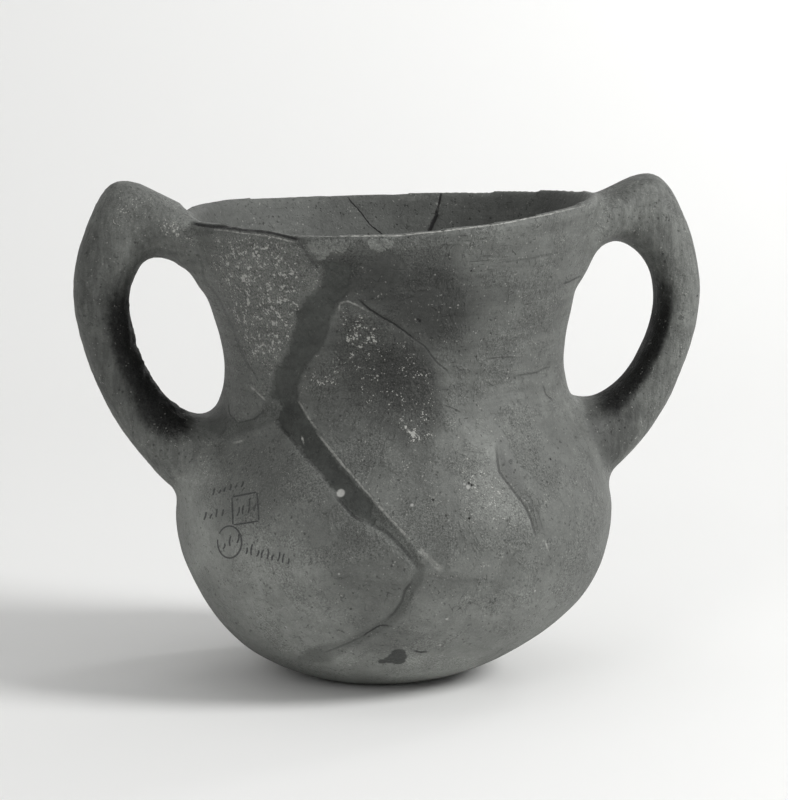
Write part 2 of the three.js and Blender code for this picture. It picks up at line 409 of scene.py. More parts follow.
class JarForm(bpy.types.PropertyGroup):
    base_radius: measure(24 * MM, "Underside", "Radius of the flat underside")
    belly_radius: measure(74.9 * MM, "Belly radius", "Radius of the belly")
    belly_height: measure(56.5 * MM, "Belly height", "Height of the widest part of the belly")
    neck_radius: measure(58 * MM, "Neck radius", "Radius of the narrowest part of the neck")
    neck_height: measure(107 * MM, "Neck height", "Height of the narrowest part of the neck")
    neck_bend: measure(14 * MM, "Neck bend", "How gently the neck turns into the flare")
    rim_radius: measure(71 * MM, "Rim radius", "Outer radius of the rim")
    rim_height: measure(158.4 * MM, "Rim height", "Height of the rim, midway between the handles")
    lip: measure(4.4 * MM, "Lip", "Thickness of the lip")
    wall: measure(5.2 * MM, "Wall", "Thickness of the wall at the belly")
    floor: measure(7 * MM, "Floor", "Thickness of the floor")
    lean: measure(math.radians(2.5), "Lean", "How far the levels dip towards -X", "ROTATION")
    lean_to: measure(180 * MM, "Lean to", "Height at which the lean would be full")
    rim_rise: measure(2.8 * MM, "Rim rise", "How far the rim climbs towards each handle")
    rim_twist: measure(1.1 * MM, "Rim twist", "How much higher the rim is at the front right")
    rim_wave_from: measure(112 * MM, "Rim wave from", "Height at which rise and twist begin")
    body_shift: measure(5 * MM, "Body shift", "The belly's centre, from the underside's")
    body_shift_to: measure(34 * MM, "Body shift to", "Height at which the body has moved that far")
    rim_shift: measure(-1.2 * MM, "Rim shift", "The mouth's centre, from the neck's")
    grain: measure(1.66 * MM, "Mesh size", "Length of a mesh side away from joints and cracks")
    swell: measure(0.3 * MM, "Unevenness", "How far the hand-made surface strays from the curve")
    lip_rise: measure(1.2 * MM, "Lip rise", "How much higher the lip stands at the front left")
    root_fill: measure(1.9 * MM, "Root fill", "How much fuller the left handle's upper root is")
    sherd_step: measure(0.45 * MM, "Sherd step", "How far the light sherd stands proud")
    stroke_width: measure(0.6 * MM, "Stroke width", "Width of an ink stroke")
    stroke_lift: measure(0.03 * MM, "Stroke lift", "How far the ink stands off the clay")


class JarFinish(bpy.types.PropertyGroup):
    clay: colour_of((0.138, 0.143, 0.134), "Clay", "Colour of the fired clay")
    filler: colour_of((0.047, 0.05, 0.046), "Filler", "Colour of the filler in the joints")
    # Also the colour of the painted highlights on raised sherd edges and on the lip
    crust: colour_of((0.5, 0.5, 0.47), "Crust", "Colour of the whitish crust and worn edges")
    pale: colour_of((0.42, 0.42, 0.4), "Chips", "Colour of the chips and the round plug")
    stain: colour_of((0.04, 0.042, 0.04), "Stain", "Colour of the stain near the foot")
    pit: colour_of((0.01, 0.01, 0.01), "Pits", "Colour deep in a pit")
    pinhole: colour_of((0.03, 0.03, 0.03), "Pinholes", "Colour of the scattered pinholes")
    # Also the colour of the painted shadows along the lip, beside the lower joint and at the sherd's
    # edge
    crack: colour_of((0.012, 0.012, 0.012), "Cracks", "Colour deep in a crack")
    ink: colour_of((0.035, 0.036, 0.036), "Ink", "Colour of the ink strokes")
    roughness: bpy.props.FloatProperty(
        name="Roughness", description="Roughness of the clay", subtype="FACTOR",
        min=0, max=1, default=0.62)


class JarStudio(bpy.types.PropertyGroup):
    floor: colour_of((0.87, 0.87, 0.86), "Floor", "Colour of the floor")
    key_power: power(16.8, "Key light", "Power of the large light on the right")
    overhead_power: power(1.8, "Overhead light", "Power of the large light over the jar")
    fill_power: power(4.5, "Fill light", "Power of the low light on the left")
    backdrop_power: power(16, "Backdrop light", "Power of the light on the backdrop")
    ambient: bpy.props.FloatProperty(
        name="Ambient", description="Strength of the light from all round", min=0, default=0.4)


class PhotoCamera:
    """Takes points of the jar to the photograph's pixels and back to rays."""

    def __init__(self):
        turn, rise = CAMERA_AZIMUTH, CAMERA_ELEVATION
        ahead = Vector((
            math.sin(turn) * math.cos(rise), math.cos(turn) * math.cos(rise), -math.sin(rise)))
        right = Vector((math.cos(turn), -math.sin(turn), 0))
        up = right.cross(ahead)
        self.eye = CAMERA_LOOKS_PAST - ahead * CAMERA_DISTANCE
        aim = CAMERA_LOOKS_PAST + right * CAMERA_AIM_RIGHT + up * CAMERA_AIM_UP
        self.ahead = (aim - self.eye).normalized()
        self.right = self.ahead.cross(Vector((0, 0, 1))).normalized()
        self.up = self.right.cross(self.ahead)

    def matrix(self):
        turned = Matrix((self.right, self.up, -self.ahead)).transposed().to_4x4()
        return Matrix.Translation(self.eye) @ turned

    def pixels(self, points):
        away = points - np.array(self.eye)
        depth = away @ np.array(self.ahead)
        across = away @ np.array(self.right) / depth * FOCAL_PIXELS + PHOTO_WIDTH / 2
        down = PHOTO_HEIGHT / 2 - away @ np.array(self.up) / depth * FOCAL_PIXELS
        return np.stack([across, down], 1)

    def ray(self, x, y):
        across = (x - PHOTO_WIDTH / 2) / FOCAL_PIXELS
        down = (y - PHOTO_HEIGHT / 2) / FOCAL_PIXELS
        return (self.ahead + self.right * across - self.up * down).normalized()


def curve_through(points, steps):
    """A centripetal Catmull-Rom curve through points, as evenly stepped as they are."""
    points = np.array(points, float)
    last = len(points) - 1
    path = []
    for t in np.linspace(0, last, steps):
        i = min(int(t), last - 1)
        w = t - i
        p1, p2 = points[i], points[i + 1]
        p0 = points[i - 1] if i else 2 * p1 - p2
        p3 = points[i + 2] if i + 2 <= last else 2 * p2 - p1
        d0, d1, d2 = (
            max(np.linalg.norm(b - a) ** 0.5, 1e-4) for a, b in ((p0, p1), (p1, p2), (p2, p3)))
        t1 = ((p1 - p0) / d0 - (p2 - p0) / (d0 + d1) + (p2 - p1) / d1) * d1
        t2 = ((p2 - p1) / d1 - (p3 - p1) / (d1 + d2) + (p3 - p2) / d2) * d1
        bend, twist = -3 * p1 + 3 * p2 - 2 * t1 - t2, 2 * p1 - 2 * p2 + t1 + t2
        path.append(p1 + t1 * w + bend * w ** 2 + twist * w ** 3)
    return np.array(path)


class Wall:
    """The jar's turned outline, before it leans, and where a point lies against it."""

    def __init__(self, form):
        self.form = form
        self.depth = form.belly_height / math.sqrt(1 - (form.base_radius / form.belly_radius) ** 2)

    def flare(self, height):
        return np.hypot(height, self.form.neck_bend) - self.form.neck_bend

    def radius(self, height):
        form = self.form
        drop = (form.belly_height - height) / self.depth
        bowl = form.belly_radius * np.sqrt(np.clip(1 - drop ** 2, 0, 1))
        t = (height - form.belly_height) / (form.neck_height - form.belly_height)
        swell = (form.belly_radius - form.neck_radius) * (1 + np.cos(np.pi * t)) / 2
        top = form.rim_height - form.lip / 2 - form.neck_height
        above = np.clip(height - form.neck_height, 0, None)
        flare = (form.rim_radius - form.neck_radius) * self.flare(above) / self.flare(top)
        upper = form.neck_radius + np.where(height < form.neck_height, swell, flare)
        return np.where(height < form.belly_height, bowl, upper)

    def thickness(self, height):
        form = self.form
        low = form.floor + (form.wall - form.floor) * smooth(0, form.belly_height, height)
        high = form.wall + (form.lip - form.wall) * smooth(form.belly_height, form.rim_height, height)
        return np.where(height < form.belly_height, low, high)

    def outlines(self):
        """The outer outline from underside to lip, and the inner one beside it."""
        form = self.form
        lowest = math.asin(form.belly_height / self.depth)
        bowl = form.belly_height - self.depth * np.sin(np.linspace(lowest, 0, BOWL_STEPS))
        upper = np.linspace(form.belly_height, form.rim_height - form.lip / 2, UPPER_STEPS)[1:]
        heights = np.concatenate([bowl, upper])
        outer = np.stack([self.radius(heights), heights], 1)
        outer[0] = form.base_radius, 0
        along = np.gradient(outer, axis=0)
        along /= np.linalg.norm(along, axis=1)[:, None]
        inward = np.stack([-along[:, 1], along[:, 0]], 1)
        return outer, outer + inward * self.thickness(heights)[:, None]

    def section(self):
        """The closed half section: underside, outside, lip, inside, floor."""
        outer, inner = self.outlines()
        middle = (outer[-1] + inner[-1]) / 2
        across = outer[-1] - middle
        up = np.array([-across[1], across[0]])
        turn = np.linspace(0, np.pi, LIP_STEPS)[1:-1, None]
        lip = middle + across * np.cos(turn) + up * np.sin(turn)
        return np.vstack([[0, 0], outer, lip, inner[::-1], [0, self.form.floor]])

    def shift(self, height):
        form = self.form
        return form.body_shift * smooth(0, form.body_shift_to, height) + form.rim_shift * smooth(
            form.neck_height, form.rim_height, height)

    def lift(self, x, y, height):
        form = self.form
        dip = x * math.tan(form.lean) * smooth(0, form.lean_to, height)
        wave = (form.rim_rise * x * x - form.rim_twist * 2 * x * y) / np.maximum(x * x + y * y, 1e-12)
        return dip + wave * smooth(form.rim_wave_from, form.rim_height, height)

    def lean(self, points):
        x, y, z = points.T
        return np.stack([x + self.shift(z), y, z + self.lift(x, y, z)], 1)

    def level(self, points):
        """Undoes the lean: distance from the level's centre, and height in the outline."""
        x, y, z = points.T
        height = z
        for _ in range(3):
            x_here = x - self.shift(height)
            height = z - self.lift(x_here, y, height)
        return np.hypot(x - self.shift(height), y), height


def skin(rings):
    """Quads between rings of the same number of points, each closed on itself."""
    count = rings.shape[1]
    r, s = np.meshgrid(np.arange(len(rings) - 1), np.arange(count), indexing="ij")
    a, b = r * count + s, r * count + (s + 1) % count
    return np.stack([a, b, b + count, a + count], -1).reshape(-1, 4).tolist()


def turned_body(wall):
    profile = wall.section()
    around = BODY_AROUND
    angles = np.linspace(0, 2 * np.pi, around, endpoint=False)
    body = profile[1:-1]
    rings = np.stack([
        body[:, :1] * np.cos(angles), body[:, :1] * np.sin(angles),
        np.repeat(body[:, 1:], around, 1)], -1)
    faces = skin(rings)
    points = np.vstack([rings.reshape(-1, 3), [[0, 0, 0], [0, 0, profile[-1, 1]]]])
    bottom, floor = len(points) - 2, len(points) - 1
    last = (len(body) - 1) * around
    for i in range(around):
        j = (i + 1) % around
        faces.append((j, i, bottom))
        faces.append((last + i, last + j, floor))
    return wall.lean(points), faces


def handle(wall, side, outer, inner):
    widths = list(enumerate(HANDLE_HALF_WIDTH))
    outer, inner, half = (curve_through(points, HANDLE_STEPS) * MM for points in (outer, inner, widths))
    middle = (outer + inner) / 2
    angles = np.linspace(0, 2 * np.pi, HANDLE_AROUND, endpoint=False)
    ahead, aside = (
        np.sign(v) * np.abs(v) ** (2 / SECTION_POWER) for v in (np.cos(angles), np.sin(angles)))
    reach = middle[:, None] + (outer - middle)[:, None] * ahead[None, :, None]
    rings = np.stack([
        side * reach[..., 0] + wall.form.body_shift,
        -side * half[:, 1:] * aside[None],
        reach[..., 1]], -1)
    points = rings.reshape(-1, 3)
    # The roots end inside the wall and don't come out into the jar
    distance, height = wall.level(points)
    core = wall.radius(height) - wall.thickness(height) / 2
    pushed = np.maximum(distance, core) / np.maximum(distance, 1e-9)
    centre = wall.shift(height)
    points[:, 0] = centre + (points[:, 0] - centre) * pushed
    points[:, 1] *= pushed
    faces = skin(rings)
    last = len(points) - HANDLE_AROUND
    faces.append(list(range(HANDLE_AROUND))[::-1])
    faces.append(list(range(last, last + HANDLE_AROUND)))
    return points, faces


def add_object(name, points, faces):
    """Links an object of these points and faces, with its faces turned outwards."""
    mesh = bpy.data.meshes.new(name)
    mesh.from_pydata([tuple(p) for p in points], [], faces)
    mesh.validate()
    work = bmesh.new()
    work.from_mesh(mesh)
    bmesh.ops.recalc_face_normals(work, faces=work.faces)
    work.to_mesh(mesh)
    work.free()
    made = bpy.data.objects.new(name, mesh)
    bpy.context.scene.collection.objects.link(made)
    return made


def shade_smooth(mesh):
    mesh.polygons.foreach_set("use_smooth", [True] * len(mesh.polygons))


def numbers(mesh, what, width):
    """A value of every vertex, such as its place, as rows of an array."""
    values = np.empty(len(mesh.vertices) * width, np.float32)
    mesh.vertices.foreach_get(what, values)
    return values.reshape(-1, width).astype(float)


def place(mesh, points):
    mesh.vertices.foreach_set("co", points.astype(np.float32).ravel())
    mesh.update()


def edges_of(mesh):
    pairs = np.empty(len(mesh.edges) * 2, np.int32)
    mesh.edges.foreach_get("vertices", pairs)
    return pairs.reshape(-1, 2)


def neighbour_mean(values, pairs, counts):
    """The mean of the values at the vertices next to each one."""
    total = np.zeros_like(values)
    for k in range(values.shape[1]):
        total[:, k] = np.bincount(pairs[:, 0], values[pairs[:, 1], k], len(values))
        total[:, k] += np.bincount(pairs[:, 1], values[pairs[:, 0], k], len(values))
    return total / counts[:, None]


def cast_clay(form, wall):
    """Body and handles run together into one skin, with soft roots."""
    parts = [
        turned_body(wall),
        handle(wall, -1, LEFT_OUTER, LEFT_INNER),
        handle(wall, 1, RIGHT_OUTER, RIGHT_INNER),
    ]
    points, faces = [], []
    for part_points, part_faces in parts:
        start = sum(len(p) for p in points)
        points.append(part_points)
        faces += [[start + i for i in face] for face in part_faces]
    jar = add_object("jar_clay", np.vstack(points), faces)
    remesh = jar.modifiers.new("run_together", "REMESH")
    remesh.mode = "VOXEL"
    remesh.voxel_size = form.grain
    remesh.use_smooth_shade = True
    bpy.context.view_layer.update()
    depsgraph = bpy.context.evaluated_depsgraph_get()
    whole = bpy.data.meshes.new_from_object(jar.evaluated_get(depsgraph))
    jar.modifiers.clear()
    jar.data = whole
    return jar


def refine_front(mesh, camera, wall):
    """Halves the mesh size beside the joints, the cracks and painted shadows, and the light edges and
    painted highlights on the outside.
    """
    normals = numbers(mesh, "normal", 3)
    points = numbers(mesh, "co", 3)
    distance, height = wall.level(points)
    outside = distance > wall.radius(height) - wall.thickness(height) / 2
    # Faces the camera, on the front half
    toward = np.einsum("ij,ij->i", normals, np.array(camera.eye) - points)
    seen = outside & (toward > 20 * MM) & (points[:, 1] < 12 * MM)
    spots = camera.pixels(points)
    lines = [line for *_, line in CRACKS_AND_SHADOWS + SCARS_AND_HIGHLIGHTS]
    lines += [outline + outline[:1] for *_, outline in FILLER]
    away = np.full(len(points), 1e3)
    for line in lines:
        for a, b in zip(line, line[1:]):
            away = np.minimum(away, segment_distance(spots, a, b)[0])
    seen &= away < FINE_REACH
    work = bmesh.new()
    work.from_mesh(mesh)
    work.edges.ensure_lookup_table()
    chosen = [e for e in work.edges if seen[e.verts[0].index] and seen[e.verts[1].index]]
    bmesh.ops.subdivide_edges(work, edges=chosen, cuts=1, use_grid_fill=True)
    work.to_mesh(mesh)
    work.free()


def spread_out(weight, pairs, counts, rings, allowed):
    """Lets a weight spread over that many rings of neighbours, fading as it goes."""
    for _ in range(rings):
        spread = np.minimum(1, neighbour_mean(weight, pairs, counts) * 1.6)
        weight = np.maximum(weight, spread * allowed)
    return weight


def soften(mesh, wall):
    """Evens the mesh out and fills the creases at the roots, as smeared clay does."""
    points = numbers(mesh, "co", 3)
    pairs = edges_of(mesh)
    counts = np.bincount(pairs.ravel(), minlength=len(points)).astype(float)

    def relax(share, rounds=1):
        nonlocal points
        for _ in range(rounds):
            points = points + share * (neighbour_mean(points, pairs, counts) - points)

    # Steps in and out even the mesh without shrinking it
    for step in (0.5, -0.52, 0.5, -0.52, 0.4):
        relax(step)
    place(mesh, points)
    normals = numbers(mesh, "normal", 3)
    pull = neighbour_mean(points, pairs, counts) - points
    distance, height = wall.level(points)
    # Outside, below the lip and near enough to the handles
    roots = distance > wall.radius(height) - 1.5 * MM
    roots &= points[:, 2] < wall.form.rim_height - 6 * MM
    roots &= np.abs(points[:, 1]) < 34 * MM
    crease = np.einsum("ij,ij->i", pull, normals) / MM
    weight = (smooth(0.06, 0.18, crease) * roots)[:, None]
    weight = spread_out(weight, pairs, counts, 6, roots[:, None])
    relax(0.5 * weight, ROOT_ROUNDS)
    # The upper roots are smeared out further
    upper = (smooth(122 * MM, 130 * MM, points[:, 2]) * roots)[:, None]
    relax(0.5 * upper * spread_out(weight, pairs, counts, 4, 1), UPPER_ROOT_ROUNDS)
    place(mesh, points)


def segment_distance(spots, a, b):
    """Distance to a segment, which side of it, and how far along."""
    a, b = np.array(a, float), np.array(b, float)
    along = b - a
    t = np.clip((spots - a) @ along / max(along @ along, 1e-9), 0, 1)
    off = spots - (a + t[:, None] * along)
    side = np.sign(along[0] * off[:, 1] - along[1] * off[:, 0])
    return np.linalg.norm(off, axis=1), np.where(side == 0, 1, side), t


def inside_distance(spots, outline):
    """Distance to an outline in pixels, positive inside it."""
    nearest = np.full(len(spots), 1e9)
    crossings = np.zeros(len(spots), int)
    for a, b in zip(outline, outline[1:] + outline[:1]):
        nearest = np.minimum(nearest, segment_distance(spots, a, b)[0])
        if a[1] != b[1]:
            between = (spots[:, 1] < a[1]) != (spots[:, 1] < b[1])
            cut = a[0] + (spots[:, 1] - a[1]) / (b[1] - a[1]) * (b[0] - a[0])
            crossings += between & (spots[:, 0] < cut)
    return np.where(crossings % 2 == 1, nearest, -nearest)


def soft_inside(spots, softness, outline):
    """1 inside an outline and 0 outside it, with a soft edge."""
    return smooth(-softness, softness, inside_distance(spots, outline))


def covered(spots, shapes, front):
    """How far inside the nearest shape, in mm, how much that one shows, and how sunk."""
    within = np.full(len(spots), -FAR_OFF)
    shows = np.ones(len(spots))
    sunk = np.zeros(len(spots))
    for depth, share, outline in shapes:
        inside = inside_distance(spots, outline) * PIXEL / MM
        shows = np.where(inside > within, share, shows)
        within = np.maximum(within, inside)
        sunk += depth * smooth(-0.5, 0.9, inside) * front
    return np.where(front > 0.5, np.minimum(within, FAR_OFF), -FAR_OFF), shows, sunk


def line_field(spots, lines):
    """Signed distance in mm to the nearest line, its strength, width and depth there."""
    nearest = np.full(len(spots), 1e3)
    field = [np.full(len(spots), value) for value in (FAR_OFF, 0, 0.3, 0)]
    for half_width, deep, strong, line in lines:
        steps = len(line) - 1
        for i in range(steps):
            far, side, t = segment_distance(spots, line[i], line[i + 1])
            closer = far < nearest
            nearest = np.where(closer, far, nearest)
            # A line grows fainter near its ends and soon stops beyond them
            whole = (i + t) / steps
            ends = smooth(0, 0.12, whole) * smooth(0, 0.12, 1 - whole)
            here = strong * (0.35 + 0.65 * ends)
            off_end = ((i == 0) & (t <= 0)) | ((i == steps - 1) & (t >= 1))
            here = np.where(off_end & (far > 0.5), here * smooth(3.0, 0.5, far), here)
            found = (far * side * PIXEL / MM, here, half_width, deep * here)
            field = [np.where(closer, new, old) for new, old in zip(found, field)]
    signed, strength, width, depth = field
    near = 1 - smooth(LINE_REACH * 0.6, LINE_REACH, nearest)
    return signed, strength * near, width, depth


def line_marks(spots, lines, far_lines, front, inner):
    """Distance to the nearest line, strength and width there, and its groove's depth.

    The far lines lie on the inside of the far wall.
    """
    near, far = line_field(spots, lines), line_field(spots, far_lines)
    groove = np.zeros(len(spots))
    for (off, _, width, depth), shown in ((near, front), (far, inner)):
        groove += depth * np.exp(-(off / (width * 1.7)) ** 2) * shown * (np.abs(off) < 6)
    at_back = inner > 0.5
    off, strength, width = (np.where(at_back, b, a) for a, b in zip(near[:3], far[:3]))
    return off, strength * np.where(at_back, inner, front), width, groove


def store(mesh, name, values):
    layer = mesh.attributes.new(name, "FLOAT", "POINT")
    layer.data.foreach_set("value", np.ascontiguousarray(values, np.float32))


def noise_at(points, size, seed, octaves=3):
    """Soft noise from -1 to 1 with lumps of about that size in metres."""
    moved = points / size + seed
    return np.array([noise.fractal(Vector(p), 1.0, 2.0, octaves) for p in moved])


def painted_loop_shade(points, normals, beyond):
    """Painted shade on the sides of the handles that face their loops, more on the left one."""
    left = points[:, 0] < 0
    across = np.sign(points[:, 0]) * LOOP_CENTRE[0] - points[:, 0]
    up = LOOP_CENTRE[1] - points[:, 2]
    turned_in = normals[:, 0] * across + normals[:, 2] * up
    turned_in /= np.maximum(np.hypot(across, up), 1e-9)
    soot = np.where(left, smooth(-0.35, 0.3, turned_in), smooth(0.15, 0.75, turned_in))
    soot *= smooth(1.5 * MM, 15 * MM, beyond) * smooth(78 * MM, 90 * MM, points[:, 2])
    return soot * (1 - 0.75 * smooth(120 * MM, 148 * MM, points[:, 2]))


def unevenness(points, height, on_handle, soot, form):
    """Relief in mm: broad lumps, wheel marks on the neck and the rough left handle."""
    lumps = noise_at(points, 28 * MM, 3.1) * 0.8 + noise_at(points, 9 * MM, 7.7) * 0.35
    lumps *= form.swell / MM * smooth(0.5 * MM, 4 * MM, points[:, 2])
    wheel = np.sin(height / (1.9 * MM) + 2.5 * noise_at(points, 30 * MM, 1.3, 2)) * 0.05
    wheel *= smooth(96 * MM, 112 * MM, height) * (1 - on_handle)
    wheel *= 0.35 + 0.65 * smooth(-10 * MM, 30 * MM, points[:, 0])
    rough = noise_at(points, 4 * MM, 5.5) * on_handle * (points[:, 0] < 0) * (0.14 + 0.6 * soot)
    return lumps + wheel + rough


def raise_lip_and_root(points, spots, height, on_handle, form):
    """Lifts the lip at the front left, and fills the left handle's upper root."""
    start, high, still_high, end = LIP_RISE_AT
    rise = smooth(start, high, spots[:, 0]) * smooth(end, still_high, spots[:, 0])
    rise *= smooth(form.rim_height - 9 * MM, form.rim_height - 1 * MM, height)
    points[:, 2] += rise * (points[:, 1] < 0) * (1 - on_handle) * form.lip_rise
    from_corner = np.linalg.norm(spots - np.array(ROOT_CORNER), axis=1)
    fuller = form.root_fill * np.exp(-(from_corner / ROOT_REACH) ** 2)
    points += fuller[:, None] * np.array(ROOT_DOWN_AND_OUT)


def mark_surface(mesh, camera, wall):
    """Reads the lists above onto the mesh, as relief and as values for the finish."""
    form = wall.form
    points = numbers(mesh, "co", 3)
    normals = numbers(mesh, "normal", 3)
    spots = camera.pixels(points)
    distance, height = wall.level(points)
    beyond = distance - wall.radius(height)
    toward = np.array(camera.eye) - points
    facing = np.einsum("ij,ij->i", normals, toward) / np.linalg.norm(toward, axis=1)
    outside = smooth(-0.3 * MM, 0.3 * MM, beyond + wall.thickness(height) / 2)
    on_lip = smooth(form.rim_height - 3 * MM, form.rim_height - 1.5 * MM, height)
    outside = np.maximum(outside, on_lip * (points[:, 1] < 0))
    front = outside * smooth(0.0, 0.12, facing)
    inner = (1 - outside) * smooth(0.0, 0.1, facing) * (points[:, 1] > 0)
    on_handle = smooth(1.5 * MM, 7 * MM, beyond)
    # Painted shade on the handles' sides that face their loops
    soot = painted_loop_shade(points, normals, beyond)
    values = {"handle": on_handle, "soot": soot, "inside": 1 - outside}
    relief = unevenness(points, height, on_handle, soot, form)

    for name, shapes in (("filler", FILLER), ("flake", FLAKES)):
        values[name], values[name + "_shows"], sunk = covered(spots, shapes, front)
        relief -= sunk
    for name, lines, far_lines in (("crack", CRACKS_AND_SHADOWS, INSIDE_CRACKS), ("scar", SCARS_AND_HIGHLIGHTS, INSIDE_SCARS)):
        off, strength, width, groove = line_marks(spots, lines, far_lines, front, inner)
        values.update({name: off, name + "_strength": strength, name + "_width": width})
        relief -= groove
    # The light sherd on the right stands a little proud of what is to its right
    proud = inside_distance(spots, PROUD_SHERD)
    relief += form.sherd_step / MM * smooth(-1, 1.5, proud) * smooth(60, 14, proud) * front

    tone, crust = np.ones(len(points)), np.zeros(len(points))
    # Tone of the clay, with painted light and shade among the patches
    for strength, softness, outline in TONE_LIGHT_AND_SHADE:
        tone *= 1 + (strength - 1) * soft_inside(spots, softness, outline) * front
    for strength, softness, outline in CRUST:
        crust = np.maximum(crust, strength * soft_inside(spots, softness, outline) * front)
    values.update({"tone": tone, "crust": crust})

    points += normals * (relief * MM)[:, None]
    raise_lip_and_root(points, spots, height, on_handle, form)
    low, high = CAD_BOX
    place(mesh, np.clip(points, np.array(low), np.array(high)))
    for name, value in values.items():
        store(mesh, name, value)


class Board:
    """A material's nodes, added and joined one after another."""

    def __init__(self, name):
        self.material = bpy.data.materials.new(name)
        self.material.use_nodes = True
        self.tree = self.material.node_tree
        self.tree.nodes.clear()
        self.place = 0

    def node(self, kind, feeds=(), **settings):
        made = self.tree.nodes.new(kind)
        made.location = (self.place % 12 * 190, -(self.place // 12) * 260)
        self.place += 1
        for name, value in settings.items():
            setattr(made, name, value)
        for name, feed in dict(feeds).items():
            socket = made.inputs[name]
            if isinstance(feed, bpy.types.NodeSocket):
                self.tree.links.new(feed, socket)
            elif feed is not None:
                socket.default_value = feed
        return made

    def math(self, operation, a, b=0.0, clamp=False):
        return self.node(
            "ShaderNodeMath", {0: a, 1: b}, operation=operation, use_clamp=clamp).outputs[0]

    def fold(self, operation, feeds):
        whole = feeds[0]
        for feed in feeds[1:]:
            whole = self.math(operation, whole, feed)
        return whole

    def plus(self, *feeds):
        return self.fold("ADD", feeds)

    def minus(self, *feeds):
        return self.fold("SUBTRACT", feeds)

    def times(self, *feeds):
        return self.fold("MULTIPLY", feeds)

    def largest(self, *feeds):
        return self.fold("MAXIMUM", feeds)

    def less(self, number, share=1.0):
        """1 less that share of a number."""
        return self.minus(1.0, self.times(number, share))

    def ramp(self, value, low, high, start=0.0, end=1.0):
        return self.node(
            "ShaderNodeMapRange", {0: value, 1: low, 2: high, 3: start, 4: end},
            interpolation_type="SMOOTHSTEP").outputs[0]

    def swing(self, number, low, high):
        """Spreads the middle range of a noise from low to high."""
        return self.ramp(number, 0.3, 0.7, low, high)

    def vector(self, operation, a, b):
        made = self.node("ShaderNodeVectorMath", {0: a, 1: b}, operation=operation)
        return made.outputs["Value" if operation == "DISTANCE" else "Vector"]

    def blend(self, factor, a, b, blend_type="MIX"):
        return self.node(
            "ShaderNodeMix", {0: factor, 6: a, 7: b}, data_type="RGBA",
            blend_type=blend_type).outputs[2]

    def over(self, colour, tint, factor):
        return self.blend(factor, colour, (*tint, 1))

    def tinted(self, colour, factor):
        grey = self.node("ShaderNodeCombineColor", {0: factor, 1: factor, 2: factor}).outputs[0]
        return self.blend(1.0, (*colour, 1), grey, "MULTIPLY")

    def mapped(self, where, scale, turn=(0, 0, 0)):
        return self.node(
            "ShaderNodeMapping", {"Vector": where, "Rotation": turn, "Scale": scale}).outputs[0]

    def millimetres(self):
        """The place on the object, in millimetres."""
        return self.mapped(self.node("ShaderNodeTexCoord").outputs["Object"], (1 / MM,) * 3)

    def noise(self, where, scale, detail=3.0, roughness=0.5, distortion=0.0, output="Fac"):
        return self.node("ShaderNodeTexNoise", {
            "Vector": where, "Scale": scale, "Detail": detail, "Roughness": roughness,
            "Distortion": distortion}).outputs[output]

    def cells(self, where, scale):
        return self.node(
            "ShaderNodeTexVoronoi", {"Vector": where, "Scale": scale}).outputs["Distance"]

    def value(self, name):
        return self.node("ShaderNodeAttribute", (), attribute_name=name).outputs["Fac"]

    def bump(self, height, strength):
        return self.node(
            "ShaderNodeBump", {"Height": height, "Distance": 1.0, "Strength": strength}).outputs[0]

    def surface(self, **inputs):
        """Ends in a principled surface: its inputs are named with _ for a space."""
        feeds = {name.replace("_", " "): feed for name, feed in inputs.items()}
        shader = self.node("ShaderNodeBsdfPrincipled", feeds)
        self.node("ShaderNodeOutputMaterial", {"Surface": shader.outputs[0]})
        return self.material


